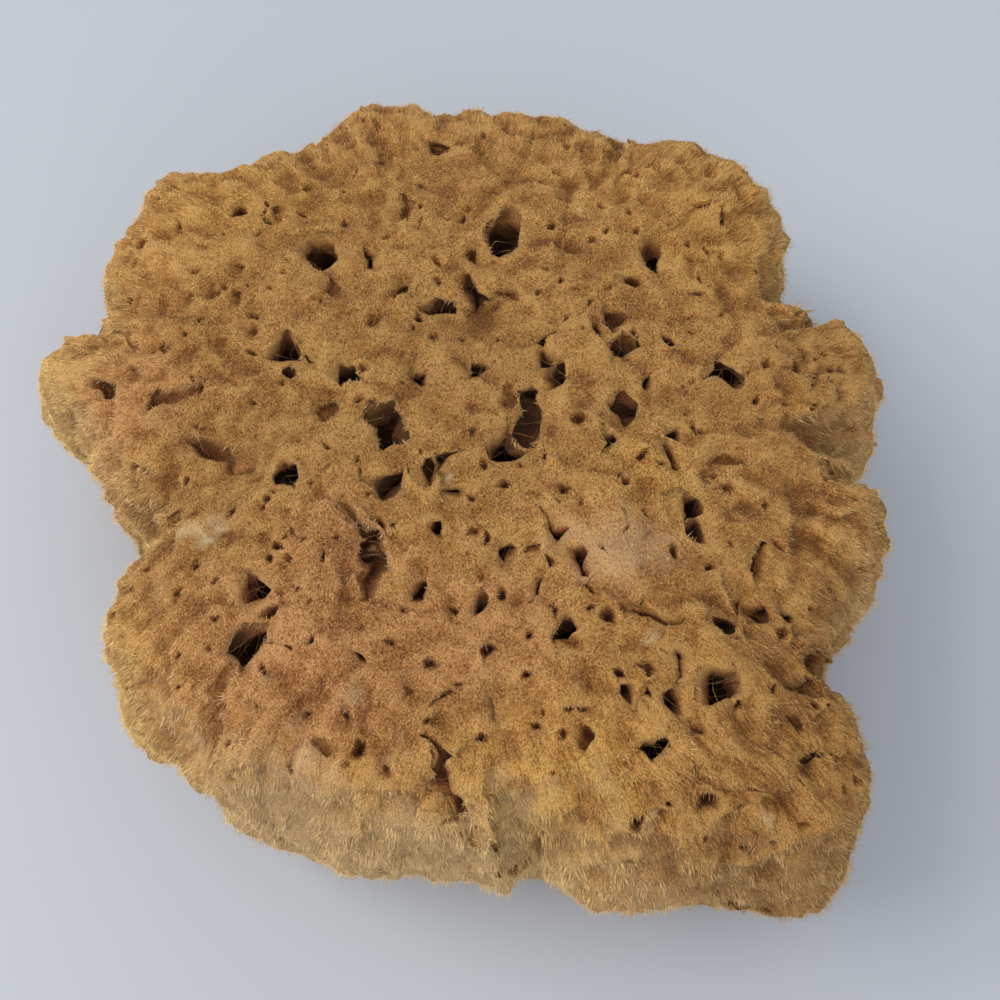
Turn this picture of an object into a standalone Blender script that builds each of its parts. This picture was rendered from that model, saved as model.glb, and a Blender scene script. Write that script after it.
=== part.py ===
"""Natural sea sponge, a low lobed bun that is cut flat at its root.

The file is in metres with +Z up. Lists and sizes are in millimetres and degrees, and MM turns them
into metres. The origin is the middle of the flat cut that the sponge rests on. Bearings run from +X
towards +Y, and the front of the sponge faces -Y.
"""

import math

import bmesh
import bpy
from mathutils import Vector, noise

MM = 0.001

# Heights above the flat cut
TOP_HEIGHT = 58.0
RIM_DROP = 5.0
BELLY_HEIGHT = 19.0

# The rounded shoulder between the top and the sides, measured inwards
SHOULDER_FRONT = 12.0
SHOULDER_BACK = 16.0
SHOULDER_STEPS = 6

# The sides below the belly: height, and reach as a share of the outline's
LOWER_SIDE = [(0.0, 0.86), (2.0, 0.90), (6.0, 0.95), (12.0, 0.985), (BELLY_HEIGHT, 1.0)]

# Rings of the top's net; ring k has six times k points
TOP_RINGS = 15

# Plan outline at the belly: bearing, and reach from the middle
OUTLINE = [
    (0, 74), (6, 79), (12, 83), (18, 80), (24, 67), (32, 78), (40, 81), (48, 83), (54, 80),
    (60, 77), (68, 76), (76, 76), (88, 77), (98, 74), (104, 81), (110, 77), (116, 72), (122, 75),
    (130, 77), (137, 84), (144, 81), (150, 78), (156, 76), (160, 69), (165, 82), (169, 82),
    (174, 78), (180, 66), (188, 65), (196, 59), (201, 55), (206, 63), (213, 71), (222, 72),
    (232, 71), (242, 75), (252, 71), (262, 73), (272, 72), (276, 76), (280, 72), (286, 79),
    (292, 83), (300, 88), (308, 96), (314, 93), (320, 86), (325, 75), (330, 76), (338, 78),
    (348, 78), (353, 70), (356, 65),
]

# Broad swells and hollows of the top: x, y, rise, spread
SWELLS = [
    (-21, -15, 2.5, 9), (-42, 26, 2.0, 12), (40, 52, 2.0, 14), (26, -18, 1.5, 12),
    (62, 18, -3.5, 8), (-62, 8, -4.0, 9), (-72, 16, -4.0, 12), (74, 14, -2.5, 9),
    (4, 12, -2.5, 9), (-12, 4, -1.5, 8), (-62, -34, -4.0, 12), (40, -52, 2.5, 14),
    (56, -18, -2.0, 8), (-36, -6, -1.5, 8), (8, -52, -2.0, 8), (-30, -44, 1.5, 12),
]

# Unevenness of the skin: how far it swings, and the size of its bumps
TOP_ROUGHNESS = 1.2
TOP_BUMPS = (9.0, 9.0, 9.0)
SIDE_ROUGHNESS = 4.5
SIDE_BUMPS = (14.0, 14.0, 22.0)
FINE_SIDE_ROUGHNESS = 2.0
FINE_SIDE_BUMPS = (6.0, 6.0, 13.0)

# Pores of the top: x, y, width, length, bearing of the length
DEEP_PORES = [
    (9, 33, 5.5, 7.5, 90), (-2, 16, 4.2, 4.6, 90), (-14, 28, 3.0, 4.0, 90), (-23, 28, 5.0, 5.2, 0),
    (-28, 8, 4.0, 5.5, 95), (-26, 3, 2.5, 3.5, 0), (-24, 6, 2.5, 2.5, 0), (-11, -7, 5.5, 9.0, -33),
    (-9, -16, 2.5, 3.5, 90), (-26, -15, 3.0, 4.5, 23), (14, 11, 3.2, 4.5, 90),
    (16, 3, 3.5, 4.6, 90), (4, 5, 2.3, 5.5, 90), (8, -10, 3.0, 7.5, 90), (8, -28, 2.4, 2.4, 0),
    (17, -25, 2.4, 4.2, -21), (20, -29, 3.8, 3.9, 0), (4, -36, 2.2, 2.7, 90),
    (-14, -44, 2.2, 2.2, 0), (37, -21, 3.0, 4.4, -63), (45, 4, 4.8, 5.0, 0),
    (-30, -33, 3.8, 4.6, 0), (30, 22, 2.2, 2.5, 90), (30, 9, 2.5, 2.5, 0), (19, -40, 3.2, 3.5, 90),
    (34, -45, 2.8, 3.8, 87), (39, -48, 3.2, 5.2, 86), (30, -57, 3.6, 4.0, 0),
    (-29, -42, 4.6, 6.0, 47),
]
OPEN_PORES = [
    (42, -51, 2.2, 2.2, 0), (28, -51, 2.8, 2.8, 0), (33, -51, 2.5, 3.4, 0), (25, -49, 2.2, 2.6, 90),
    (52, -36, 3.2, 3.5, 0), (42, -38, 2.7, 2.7, 0), (25, -9, 3.8, 4.8, 88), (28, -3, 4.6, 5.0, 86),
    (28, 8, 3.2, 4.8, 87), (24, 11, 2.4, 2.4, 0), (17, 15, 2.6, 2.6, 0), (33, 3, 2.2, 2.2, 0),
    (36, 11, 2.0, 2.0, 0), (35, 28, 3.8, 4.4, 86), (-17, 5, 3.5, 5.0, 94), (-5, 4, 2.6, 3.6, 92),
    (2, -18, 2.3, 2.8, 90), (13, -35, 2.5, 2.7, 90), (-2, -25, 1.8, 2.7, 90),
    (-10, -22, 1.8, 3.0, 92), (-6, -33, 2.3, 2.8, 92), (36, -8, 2.5, 2.6, 0), (34, -12, 3.2, 3.4, 0),
    (6, -51, 2.0, 2.6, 90), (15, 7, 3.0, 4.0, 90), (38, -24, 2.0, 3.0, 85), (44, -34, 2.2, 3.0, 84),
]
SHALLOW_PORES = [
    (-10, 38, 3.4, 10.0, 93), (-9, 20, 3.8, 3.8, 0), (-13, 14, 2.8, 3.4, 0), (-21, 22, 3.0, 4.5, 95),
    (-4, 54, 4.6, 5.0, 90), (4, 28, 3.2, 5.0, 90), (8, 20, 3.0, 3.0, 0), (20, 36, 2.8, 3.2, 90),
    (20, 29, 3.0, 5.6, 88), (1, 38, 2.2, 3.0, 90),
    (19, -56, 3.4, 3.8, 0), (36, -54, 2.2, 2.5, 90), (49, -54, 2.6, 3.0, 0), (51, -58, 2.2, 2.8, 0),
    (42, -71, 2.0, 3.8, -48), (47, -28, 4.6, 5.0, 83), (47, -35, 4.5, 5.4, 83),
    (44, -11, 2.8, 4.2, 0), (-18, -56, 3.2, 3.8, 0), (-61, 4, 3.4, 4.4, -16),
    (-19, -3, 3.0, 3.8, 95), (-38, 26, 2.0, 4.0, 97), (-42, 20, 2.6, 3.0, 0), (-38, 17, 2.1, 3.0, 94),
    (12, -28, 2.5, 3.6, 0), (-4, -13, 4.0, 4.2, 0), (9, -1, 2.6, 7.0, 90), (52, -48, 2.8, 5.0, 5),
    (60, 4, 3.4, 4.0, 6), (27, 14, 4.2, 4.8, 87), (-30, 38, 2.6, 3.5, 96), (-38, 38, 2.0, 2.8, 97),
]
DEEP_SHARE, DEEP_LEAST = 2.6, 8.0
OPEN_SHARE, OPEN_LEAST = 1.8, 4.5
SHALLOW_SHARE, SHALLOW_LEAST = 0.9, 2.4

# Pores of the sides: bearing, height, width, length up and down, depth
SIDE_PORES = [
    (26, 36, 7.0, 11.0, 10), (48, 30, 5.0, 6.0, 9), (66, 24, 6.0, 7.0, 11), (84, 33, 5.0, 5.5, 9),
    (99, 20, 6.5, 8.0, 12), (118, 28, 6.0, 8.0, 11), (133, 22, 4.5, 5.5, 9), (150, 31, 5.5, 6.0, 8),
    (166, 20, 5.0, 6.0, 8), (187, 29, 6.0, 8.0, 9), (210, 22, 5.0, 6.0, 9), (228, 27, 4.5, 5.5, 8),
    (247, 20, 4.0, 6.0, 8), (262, 27, 4.5, 5.0, 8), (284, 19, 4.5, 6.0, 8), (302, 26, 5.0, 5.5, 9),
    (318, 20, 4.5, 6.0, 9), (330, 34, 6.0, 9.0, 9), (343, 22, 5.0, 6.0, 9), (355, 34, 7.0, 12.0, 9),
    (8, 24, 5.0, 6.0, 9),
]

# Canal mouths in the flat cut: x, y, width, length, bearing of the length, depth
ROOT_PORES = [
    (6, 20, 7.0, 9.0, 30, 12), (-22, 8, 6.0, 7.0, 0, 10), (24, -8, 8.0, 9.5, 70, 13),
    (-8, -26, 6.5, 7.5, 120, 11), (-42, -14, 5.0, 6.0, 45, 8), (44, 26, 6.0, 7.0, 10, 9),
    (-30, 38, 5.5, 7.0, 60, 9), (34, -42, 6.0, 8.0, 140, 10), (-24, -44, 4.5, 5.5, 0, 7),
    (12, 46, 5.0, 6.0, 90, 8), (52, -4, 4.5, 5.0, 0, 7), (8, -48, 4.0, 5.0, 20, 7),
]

# Clefts and creases of the top: x, y, width and depth at each point of their paths
CLEFTS = [
    [(-17, -20, 1.6, 0.7), (-13, -24, 3.4, 2.6), (-11, -29, 3.8, 3.6), (-12, -35, 1.6, 0.7)],
    [(58, -17, 1.8, 0.7), (55, -23, 4.4, 1.6), (52, -28, 1.8, 0.7)],
    [(-32, -44, 1.8, 0.7), (-34, -50, 4.6, 2.2), (-37, -57, 5.6, 2.8), (-43, -70, 7.0, 4.0)],
    [(-52, -2, 1.2, 0.6), (-47, 1, 3.0, 3.4), (-42, 2, 1.2, 0.6)],
    [(-43, -7, 1.4, 0.8), (-40, -9, 4.0, 4.2), (-35, -11, 3.2, 3.4), (-30, -14, 1.4, 0.7)],
    [(14, 1, 2.0, 3.0), (13, -5, 3.6, 5.0), (11, -10, 2.0, 3.0)],
    [(-3, -14, 1.0, 0.8), (0, -13, 2.2, 2.6), (3, -12, 1.0, 0.8)],
    [(27, -36, 0.8, 0.6), (30, -37, 2.0, 1.8), (34, -38, 0.8, 0.6)],
    [(-3, -53, 1.2, 0.7), (-1, -57, 2.4, 2.8), (1, -61, 2.4, 3.4), (2, -66, 1.2, 0.7)],
    [(3, 24, 0.8, 2.0), (3, 20, 1.8, 6.0), (3, 16, 0.8, 2.0)],
    [(55, 15, 1.8, 0.8), (63, 20, 4.0, 3.0), (76, 30, 6.0, 6.0)],
    [(58, -11, 1.8, 0.8), (66, -11, 4.0, 3.0), (80, -8, 6.0, 6.0)],
    [(52, -44, 1.8, 0.8), (60, -45, 3.6, 3.0), (78, -50, 5.4, 6.0)],
    [(-42, -20, 1.8, 0.8), (-50, -22, 4.0, 3.0), (-68, -25, 6.0, 6.0)],
    [(-53, 12, 1.8, 0.8), (-62, 18, 3.6, 3.0), (-82, 30, 5.4, 6.0)],
    [(7, -58, 2.0, 0.7), (9, -65, 4.4, 2.2), (11, -73, 5.4, 3.2), (14, -86, 6.6, 5.0)],
    [(-13, 44, 1.8, 0.7), (-14, 52, 4.4, 2.2), (-15, 61, 1.8, 0.7)],
    [(26, 46, 1.8, 0.7), (29, 54, 4.4, 2.2), (32, 62, 1.8, 0.7)],
]

# The section of a cleft, as shares of its width: at its floor, at the skin and above the sponge
CLEFT_SHARES = (0.12, 0.5, 0.7)
CLEFT_TOP = TOP_HEIGHT + 8.0

# The plugs that pores are cut with: how far they stand out of the skin, how much they widen there,
# how uneven their mouths are, and how narrow they end
CUTTER_RISE = 4.0
MOUTH_FLARE = 0.4
MOUTH_UNEVENNESS = 0.24
UNEVENNESS_SIZE = 2.0
END_SHARE = 0.55

# A plug deeper than this has a bend in its wall: its depth, its width there and its width at the end
LONG_PLUG = 10.0
BEND_DEPTH, BEND_SHARE, LONG_END_SHARE = 0.6, 0.85, 0.45

# Sides of a plug by its length: shorter than the first number has that many sides
PLUG_SIDES = [(3.8, 6), (4.8, 7), (7.0, 8), (1000.0, 10)]

# How the pores of the top lean away from the skin's normal, and how the pores of the sides fall inwards
LEAN = 0.2
LEAN_SIZE = 5.0
SIDE_PORE_FALL = 0.15


def outline_reach(bearing):
    """Reach of the belly at a bearing, on a smooth curve through the outline's points."""
    count = len(OUTLINE)
    bearing %= 360.0
    after = next((i for i, (at, _) in enumerate(OUTLINE) if at > bearing), count)
    stations = []
    for step in (-2, -1, 0, 1):
        turns, index = divmod(after + step, count)
        at, reach = OUTLINE[index]
        stations.append((at + 360.0 * turns, reach))
    (at0, reach0), (at1, reach1), (at2, reach2), (at3, reach3) = stations
    share = (bearing - at1) / (at2 - at1)
    slope1 = (reach2 - reach0) / (at2 - at0) * (at2 - at1)
    slope2 = (reach3 - reach1) / (at3 - at1) * (at2 - at1)
    rise = reach2 - reach1
    cubic = slope1 + slope2 - 2 * rise
    square = 3 * rise - 2 * slope1 - slope2
    return ((cubic * share + square) * share + slope1) * share + reach1


def shoulder_width(bearing):
    backness = (1 + math.sin(math.radians(bearing))) / 2
    return SHOULDER_FRONT + (SHOULDER_BACK - SHOULDER_FRONT) * backness


def bumps(point, sizes):
    """Smooth unevenness between about -1 and 1, with bumps of the given sizes."""
    return noise.noise(Vector(coordinate / size for coordinate, size in zip(point, sizes)))


def crown_height(x, y, inner_share):
    """Height of the top, where inner_share is 0 in the middle and 1 at the rim."""
    height = TOP_HEIGHT - RIM_DROP * inner_share**2
    for at_x, at_y, rise, spread in SWELLS:
        apart = ((x - at_x) ** 2 + (y - at_y) ** 2) / spread**2
        height += rise * math.exp(-apart)
    return height + TOP_ROUGHNESS * bumps((x, y, 0), TOP_BUMPS)


def surface_height(x, y):
    """Height of the top or the shoulder over a point of the plan."""
    bearing = math.degrees(math.atan2(y, x))
    reach = outline_reach(bearing)
    width = shoulder_width(bearing)
    distance = math.hypot(x, y)
    rim = reach - width
    if distance <= rim:
        return crown_height(x, y, distance / rim)
    beyond = min((distance - rim) / width, 1.0)
    crown = crown_height(x * rim / distance, y * rim / distance, 1.0)
    return BELLY_HEIGHT + (crown - BELLY_HEIGHT) * math.sqrt(1 - beyond**2)


def polar(reach, bearing, height):
    angle = math.radians(bearing)
    return Vector((reach * math.cos(angle), reach * math.sin(angle), height))


def side_point(bearing, reach, height):
    """A point of the side, pushed in or out by the skin's unevenness."""
    point = polar(reach, bearing, height)
    broad = SIDE_ROUGHNESS * bumps(point, SIDE_BUMPS)
    fine = FINE_SIDE_ROUGHNESS * bumps(point, FINE_SIDE_BUMPS)
    swing = (broad + fine) * math.sin(math.pi * height / TOP_HEIGHT)
    return polar(reach + swing, bearing, height)


def side_rings(columns):
    """Rings from the edge of the flat cut up to the top of the shoulder."""
    rings = []
    for height, share in LOWER_SIDE:
        ring = []
        for column in range(columns):
            bearing = 360.0 * column / columns
            ring.append(side_point(bearing, outline_reach(bearing) * share, height))
        rings.append(ring)
    for step in range(1, SHOULDER_STEPS):
        turn = math.pi / 2 * step / SHOULDER_STEPS
        ring = []
        for column in range(columns):
            bearing = 360.0 * column / columns
            width = shoulder_width(bearing)
            rim = outline_reach(bearing) - width
            rim_point = polar(rim, bearing, 0)
            crown = crown_height(rim_point.x, rim_point.y, 1.0)
            height = BELLY_HEIGHT + (crown - BELLY_HEIGHT) * math.sin(turn)
            ring.append(side_point(bearing, rim + width * math.cos(turn), height))
        rings.append(ring)
    return rings


def top_ring(ring_number):
    """One ring of the top; the rings are round in the middle and follow the outline at the rim."""
    share = ring_number / TOP_RINGS
    mean_rim = sum(reach for _, reach in OUTLINE) / len(OUTLINE) - SHOULDER_BACK
    points = []
    for place in range(6 * ring_number):
        bearing = 60.0 * place / ring_number
        rim = outline_reach(bearing) - shoulder_width(bearing)
        reach = share * (rim * share + mean_rim * (1 - share))
        point = polar(reach, bearing, 0)
        point.z = crown_height(point.x, point.y, reach / rim)
        points.append(point)
    return points


def add_ring(mesh, points):
    return [mesh.verts.new(point * MM) for point in points]


def join_equal_rings(mesh, lower, upper):
    count = len(lower)
    for i in range(count):
        j = (i + 1) % count
        mesh.faces.new((lower[i], lower[j], upper[j], upper[i]))


def join_top_rings(mesh, outer, inner, ring_number):
    """Triangles between ring k, of 6k points, and ring k - 1, of 6(k - 1) points."""
    for sector in range(6):
        start = sector * ring_number
        inner_start = sector * (ring_number - 1)
        for step in range(ring_number):
            here = outer[start + step]
            ahead = outer[(start + step + 1) % len(outer)]
            near = inner[(inner_start + step) % len(inner)]
            mesh.faces.new((here, ahead, near))
            if step < ring_number - 1:
                mesh.faces.new((ahead, inner[(inner_start + step + 1) % len(inner)], near))


def object_from(mesh, name):
    data = bpy.data.meshes.new(name)
    mesh.to_mesh(data)
    mesh.free()
    made = bpy.data.objects.new(name, data)
    bpy.context.scene.collection.objects.link(made)
    return made


def make_body():
    """The closed bun before any pore is cut."""
    mesh = bmesh.new()
    rings = [add_ring(mesh, ring) for ring in side_rings(6 * TOP_RINGS)]
    rings.append(add_ring(mesh, top_ring(TOP_RINGS)))
    for lower, upper in zip(rings, rings[1:]):
        join_equal_rings(mesh, lower, upper)
    mesh.faces.new(reversed(rings[0]))
    outer = rings[-1]
    for ring_number in range(TOP_RINGS, 1, -1):
        inner = add_ring(mesh, top_ring(ring_number - 1))
        join_top_rings(mesh, outer, inner, ring_number)
        outer = inner
    middle = mesh.verts.new(Vector((0, 0, crown_height(0, 0, 0))) * MM)
    for i in range(6):
        mesh.faces.new((outer[i], outer[(i + 1) % 6], middle))
    bmesh.ops.triangulate(mesh, faces=mesh.faces, quad_method="SHORT_EDGE", ngon_method="EAR_CLIP")
    return object_from(mesh, "sponge")


def pore_axes(inward, bearing):
    """Axes of a pore's mouth: across it, along it, and into the sponge."""
    inward = inward.normalized()
    along = polar(1, bearing, 0) if abs(inward.z) > 0.5 else Vector((0, 0, 1))
    along = (along - inward * along.dot(inward)).normalized()
    return along.cross(inward), along, inward


def add_plug(mesh, mouth, axes, width, length, depth):
    """A closed, uneven, tapering plug that a pore is cut with."""
    across, along, inward = axes
    sides = next(count for longest, count in PLUG_SIDES if length < longest)
    outside = (-CUTTER_RISE, 1 + MOUTH_FLARE * CUTTER_RISE / (depth + CUTTER_RISE))
    stations = [outside, (depth, END_SHARE)]
    if depth > LONG_PLUG:
        stations = [outside, (BEND_DEPTH * depth, BEND_SHARE), (depth, LONG_END_SHARE)]
    rings = []
    for at, share in stations:
        ring = []
        for side in range(sides):
            turn = 2 * math.pi * side / sides
            edge = mouth + across * math.cos(turn) * width + along * math.sin(turn) * length
            swing = 1 + MOUTH_UNEVENNESS * noise.noise(edge / UNEVENNESS_SIZE)
            offset = across * math.cos(turn) * width / 2 + along * math.sin(turn) * length / 2
            ring.append(mesh.verts.new((mouth + inward * at + offset * share * swing) * MM))
        rings.append(ring)
    for outer, inner in zip(rings, rings[1:]):
        join_equal_rings(mesh, outer, inner)
    mesh.faces.new(reversed(rings[0]))
    mesh.faces.new(rings[-1])


def skin_normal(x, y):
    step = 2.0
    slope_x = (surface_height(x + step, y) - surface_height(x - step, y)) / (2 * step)
    slope_y = (surface_height(x, y + step) - surface_height(x, y - step)) / (2 * step)
    return Vector((-slope_x, -slope_y, 1)).normalized()


def top_plugs(pores, share, least):
    mesh = bmesh.new()
    for x, y, width, length, bearing in pores:
        mouth = Vector((x, y, surface_height(x, y)))
        lean = noise.noise_vector(mouth / LEAN_SIZE) * LEAN
        inward = -(skin_normal(x, y) + Vector((0, 0, 1)) + lean)
        depth = max(share * width, least)
        add_plug(mesh, mouth, pore_axes(inward, bearing), width, length, depth)
    return mesh


def side_plugs():
    mesh = bmesh.new()
    for bearing, height, width, length, depth in SIDE_PORES:
        reach = outline_reach(bearing)
        width_in = shoulder_width(bearing)
        crown = TOP_HEIGHT - RIM_DROP
        up = max(0.0, (height - BELLY_HEIGHT) / (crown - BELLY_HEIGHT))
        reach -= width_in * (1 - math.sqrt(1 - up**2))
        mouth = polar(reach, bearing, height)
        inward = -polar(1, bearing, SIDE_PORE_FALL)
        add_plug(mesh, mouth, pore_axes(inward, bearing), width, length, depth)
    return mesh


def root_plugs():
    mesh = bmesh.new()
    for x, y, width, length, bearing, depth in ROOT_PORES:
        inward = Vector((0, 0, 1))
        add_plug(mesh, Vector((x, y, 0)), pore_axes(inward, bearing), width, length, depth)
    return mesh


def cleft_wedges():
    """Wedges with a V section, swept along the paths of the clefts."""
    mesh = bmesh.new()
    for path in CLEFTS:
        spots = [Vector((x, y, 0)) for x, y, _, _ in path]
        sections = []
        for i, (x, y, width, depth) in enumerate(path):
            ahead = spots[min(i + 1, len(spots) - 1)] - spots[max(i - 1, 0)]
            across = Vector((-ahead.y, ahead.x, 0)).normalized()
            surface = surface_height(x, y)
            levels = list(zip((surface - depth, surface, CLEFT_TOP), CLEFT_SHARES))
            right = [spots[i] + across * width * share + Vector((0, 0, z)) for z, share in levels]
            left = [spots[i] - across * width * share + Vector((0, 0, z)) for z, share in levels]
            sections.append(add_ring(mesh, left + right[::-1]))
        for near, far in zip(sections, sections[1:]):
            join_equal_rings(mesh, near, far)
        mesh.faces.new(reversed(sections[0]))
        mesh.faces.new(sections[-1])
    return mesh


def cut(body, mesh, name):
    """Cuts a group of plugs out of the body; the cutter stays as a hidden guide."""
    bmesh.ops.recalc_face_normals(mesh, faces=mesh.faces)
    bmesh.ops.triangulate(mesh, faces=mesh.faces)
    cutter = object_from(mesh, name)
    cutter.hide_render = True
    cutter.display_type = "WIRE"
    cutter.parent = body
    modifier = body.modifiers.new(name, "BOOLEAN")
    modifier.operation = "DIFFERENCE"
    modifier.solver = "EXACT"
    modifier.use_self = True
    modifier.object = cutter


def fibre_material():
    material = bpy.data.materials.new("sponge fibre")
    material.use_nodes = True
    shader = material.node_tree.nodes["Principled BSDF"]
    shader.inputs["Base Color"].default_value = (0.38, 0.20, 0.07, 1.0)
    shader.inputs["Roughness"].default_value = 0.95
    shader.inputs["Metallic"].default_value = 0.0
    return material


def middle_of_plan(body):
    xs = [vertex.co.x for vertex in body.data.vertices]
    ys = [vertex.co.y for vertex in body.data.vertices]
    return Vector(((min(xs) + max(xs)) / 2, (min(ys) + max(ys)) / 2, 0))


def main():
    for old in list(bpy.data.objects):
        bpy.data.objects.remove(old)
    body = make_body()
    body.location = -middle_of_plan(body)
    body.data.materials.append(fibre_material())
    cut(body, top_plugs(DEEP_PORES, DEEP_SHARE, DEEP_LEAST), "deep pore cutters")
    cut(body, top_plugs(OPEN_PORES, OPEN_SHARE, OPEN_LEAST), "open pore cutters")
    cut(body, top_plugs(SHALLOW_PORES, SHALLOW_SHARE, SHALLOW_LEAST), "shallow pore cutters")
    cut(body, side_plugs(), "side pore cutters")
    cut(body, root_plugs(), "root pore cutters")
    cut(body, cleft_wedges(), "cleft cutters")


main()
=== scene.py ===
# A natural sea sponge: a felted body with pores, a coat of fine fibres, and longer wisps on its sides.
# Lengths are in millimetres in the arrays, and MM turns them into metres where meshes are read or made.
import itertools
import math

import bmesh
import bpy
import numpy as np
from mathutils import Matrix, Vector
from mathutils.bvhtree import BVHTree
from mathutils.kdtree import KDTree


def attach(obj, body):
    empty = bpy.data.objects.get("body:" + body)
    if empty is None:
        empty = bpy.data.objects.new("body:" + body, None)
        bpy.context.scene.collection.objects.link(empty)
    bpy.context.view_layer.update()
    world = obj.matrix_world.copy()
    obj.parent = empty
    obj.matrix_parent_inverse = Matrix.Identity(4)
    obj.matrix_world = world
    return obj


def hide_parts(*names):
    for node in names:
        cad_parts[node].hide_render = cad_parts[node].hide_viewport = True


MM = 0.001
SEED = 20

# The camera looks down at the front of the sponge
CAMERA_PLACE = (7.8, -90.5, 210.9)
CAMERA_TILT = 24.8
LENS = 40.0

# The felted body under the fibres: the longest edges of its faces, and how far it is smoothed
DIVISIONS = 9
TOP_FACE = 1.7
SIDE_FACE = 2.2
UNDER_FACE = 4.0
PINHOLE_FACE = 0.7
PINHOLE_MARGIN = 0.2
PORE_SMOOTHING = 3
SIDE_SMOOTHING = 7
SIDE_LOW, SIDE_HIGH = 44.0, 54.0
OPEN_SMOOTHING = 10
DIRECTION_SMOOTHING = 40

# How far the body lies under the solid's skin, how much the felt narrows the pores, and the dip round them
FELT_INSET = 0.8
PORE_NARROWING = 0.22
WALL_LUMPS = ((2.4, 0.3), (1.3, 0.22))
MOUTH_DIP = 1.3
MOUTH_SPREAD = 14

# Swells, dents, strands that run out over the rim and down the sides, and creases: sizes and heights, where
# the noise makes a dent or a crease, and how strong these are on the sides
SWELLS = ((12.0, 0.4), (1.7, 0.12))
DENT_SIZES = (5.0, 2.2)
DENT_DEPTH = 0.7
DENT_EDGE = (0.35, 0.95)
DENT_ON_SIDES = 1.5
STRAND_SIZES = ((3.0, 15.0, 0.85), (1.7, 9.0, 0.5))
STRAND_CIRCLE = 70.0
STRAND_START, STRAND_FULL = 40.0, 70.0
STRAND_SHARE_INSIDE = 0.12
CREASE_SIZE = 13.0
CREASE_DEPTH = 0.6
CREASE_BEND = 3.0
CREASE_EDGE = (0.72, 1.0)
CREASE_ON_SIDES = 0.4

# Over these heights the relief grows from this share at the flat cut to the whole
CUT_RANGE = (0.0, 2.0)
CUT_RELIEF = 0.3

# How the skin sways to the side: sizes and swings, how much more at the pore mouths, and the share upwards
WARPS = ((1.6, 0.6), (3.0, 1.1), (7.0, 0.8))
MOUTH_WARP = 0.7
WARP_UPWARDS = 0.3

# Above this height the skin belongs to the top and its pores
TOP_ZONE = 35.0

# Pores that felt fills to within a little of their mouths: x, y, width, length and direction in degrees
FILLED = [
    (-10.6, 38, 3.4, 10.0, 93), (-9.6, 20, 3.8, 3.8, 0), (-13.6, 14, 2.8, 3.4, 0),
    (-21.6, 22, 3.0, 4.5, 95), (-4.6, 54, 4.6, 5.0, 90), (3.4, 28, 3.2, 5.0, 90),
    (7.4, 20, 3.0, 3.0, 0), (19.4, 36, 2.8, 3.2, 90), (19.4, 29, 3.0, 5.6, 88), (0.4, 38, 2.2, 3.0, 90),
    (18.4, -56, 3.4, 3.8, 0), (35.4, -54, 2.2, 2.5, 90), (48.4, -54, 2.6, 3.0, 0),
    (50.4, -58, 2.2, 2.8, 0), (41.4, -71, 2.0, 3.8, -48), (46.4, -28, 4.6, 5.0, 83),
    (46.4, -35, 4.5, 5.4, 83), (43.4, -11, 2.8, 4.2, 0), (-18.6, -56, 3.2, 3.8, 0),
    (-61.6, 4, 3.4, 4.4, -16), (-19.6, -3, 3.0, 3.8, 95), (-38.6, 26, 2.0, 4.0, 97),
    (-42.6, 20, 2.6, 3.0, 0), (-38.6, 17, 2.1, 3.0, 94), (11.4, -28, 2.5, 3.6, 0),
    (-4.6, -13, 4.0, 4.2, 0), (8.4, -1, 2.6, 7.0, 90), (51.4, -48, 2.8, 5.0, 5), (59.4, 4, 3.4, 4.0, 6),
    (26.4, 14, 4.2, 4.8, 87), (-30.6, 38, 2.6, 3.5, 96), (-38.6, 38, 2.0, 2.8, 97),
    (-1.4, -59.5, 6.0, 18.0, 110), (12.7, -5.3, 5.0, 11.0, 75), (27.8, -3.8, 4.6, 5.4, 80),
    (27.5, 7.2, 4.2, 5.0, 80)]

# The filling: where it starts below the mouth, the share of the depth that stays, and the size and share of
# its lumps; as shares of the pore's size, where it fades out and where the mouth's height is measured; and
# the millimetres that are added round a pore first
FILL_START = 0.9
FILL_SHARE = 0.4
FILL_LUMPS = 1.8
FILL_UNEVENNESS = 0.5
FILL_EDGE = (0.8, 1.3)
FILL_ROUND = 1.6
FILL_MARGIN = 1.0

# How open a point is: this many rays start a little above it and count as blocked up to this far away; then
# the shares of open sky between which ground turns into open ground, exposed ground and no longer a hollow
SIGHT_RAYS = 14
SIGHT_REACH = 12.0
SIGHT_START = 0.5
OPEN_RANGE = (0.80, 0.95)
EXPOSED_RANGE = (0.35, 0.85)
HOLLOW_RANGE = (0.22, 0.80)

# Between these slopes the skin turns from side to top, for its relief and for its fibres, and the rise of a
# bump over its surroundings that makes it a full ridge, painted lighter, with its hollows painted darker
UP_RANGE = (0.3, 0.8)
CROWN_RANGE = (0.35, 0.8)
RIDGE_RISE = 0.9

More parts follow.
